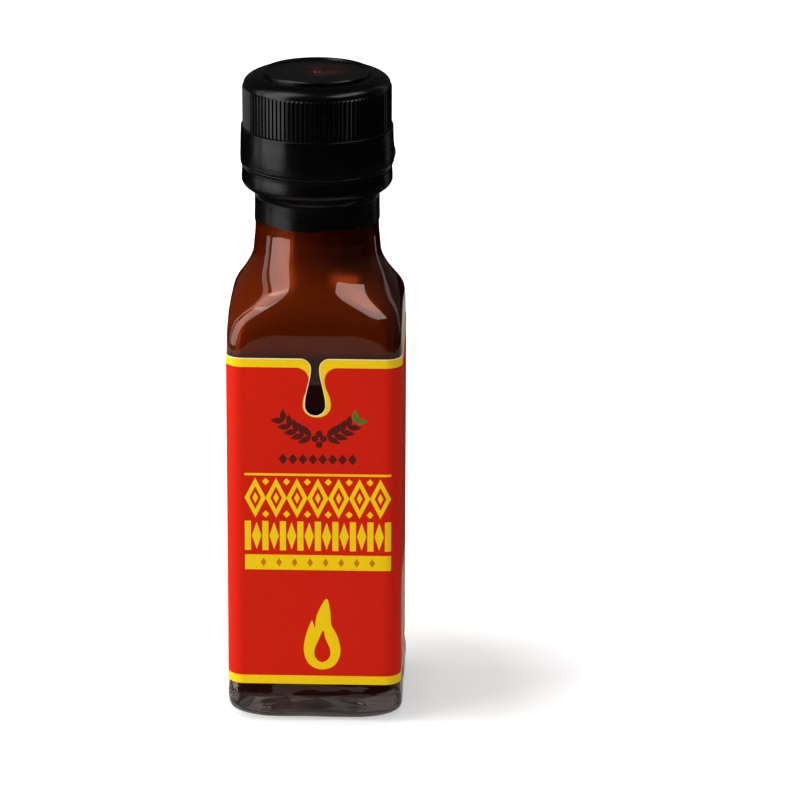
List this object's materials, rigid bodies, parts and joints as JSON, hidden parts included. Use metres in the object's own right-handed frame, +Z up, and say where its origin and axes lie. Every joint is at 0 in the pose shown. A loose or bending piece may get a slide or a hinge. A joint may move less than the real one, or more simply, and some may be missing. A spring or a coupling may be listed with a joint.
{
  "type": "hot sauce bottle",
  "caption": "Small square glass bottle of dark red sauce with a ribbed black screw cap, a black shrink band and a red wrap-round paper label.",
  "frame": {"origin": "middle of the base, on the plane that the bottle stands on", "axes": "+Z up along the bottle's axis to the cap, -Y towards the label's front, +X to the right seen from the front"},
  "size_m": [0.0378, 0.0378, 0.14],
  "materials": {
    "clear_glass": "clear, smooth, moulded",
    "sauce": "smooth thick liquid",
    "cap_plastic": "satin moulded",
    "shrink_film": "satin film, slightly wrinkled",
    "label_paper": "coated paper, semi-gloss print"
  },
  "bodies": {
    "root": {"bottle": "clear_glass", "sauce": "sauce", "cap": "cap_plastic", "film_band": "shrink_film", "label": "label_paper"}
  },
  "joints": []
}
